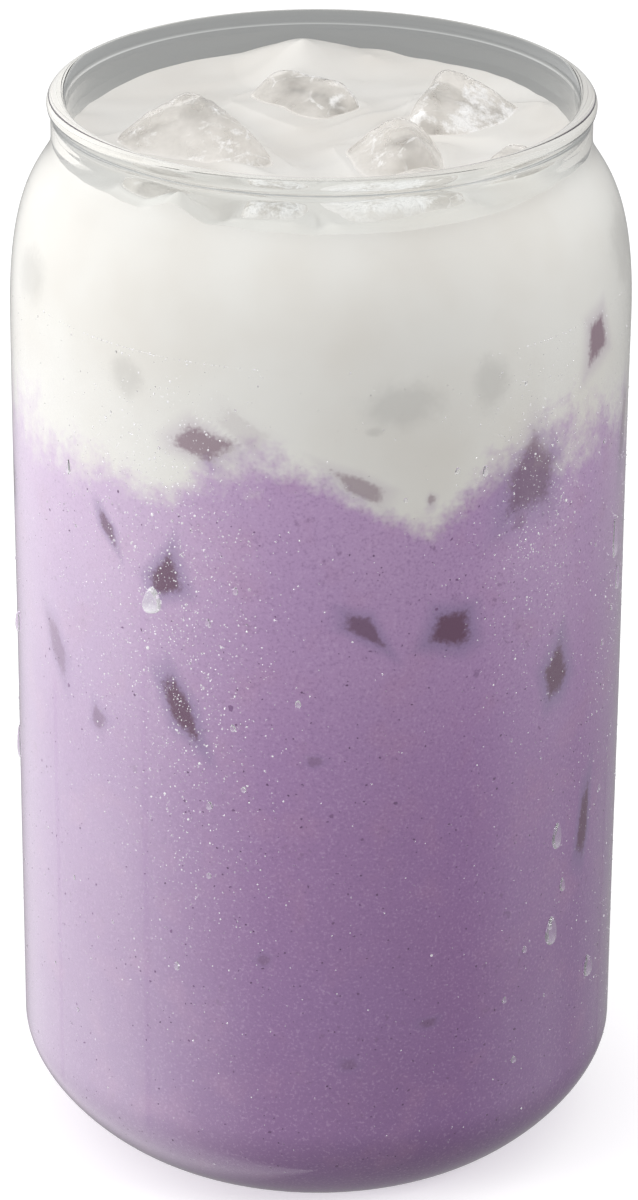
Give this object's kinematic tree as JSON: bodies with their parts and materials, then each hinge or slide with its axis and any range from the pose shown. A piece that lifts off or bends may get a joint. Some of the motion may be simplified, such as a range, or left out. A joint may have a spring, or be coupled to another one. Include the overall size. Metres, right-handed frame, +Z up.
{
  "type": "iced taro milk drink in a glass",
  "caption": "Clear can-shaped glass with a rolled rim, filled with a lilac taro drink under a white layer of milk, with ice cubes breaking the surface.",
  "frame": {"origin": "centre of the glass's foot, at the level it stands on", "axes": "+Z up along the glass's axis, -Y towards the viewer of the picture, +X to the viewer's right"},
  "size_m": [0.076, 0.076, 0.1375],
  "materials": {
    "clear_glass": "clear pressed glass, polished, misted with condensation outside",
    "taro_drink": "opaque lilac taro milk drink with fine darker flecks",
    "white_milk": "opaque white milk, smooth and wet",
    "clear_ice": "wet clear ice with cracks and frosted patches"
  },
  "bodies": {
    "root": {"glass": "clear_glass", "taro": "taro_drink", "milk": "white_milk", "ice_left": "clear_ice", "ice_back": "clear_ice", "ice_right_back": "clear_ice", "ice_right_front": "clear_ice", "ice_left_front": "clear_ice", "ice_front": "clear_ice", "ice_front_right": "clear_ice", "ice_right": "clear_ice"}
  },
  "joints": []
}
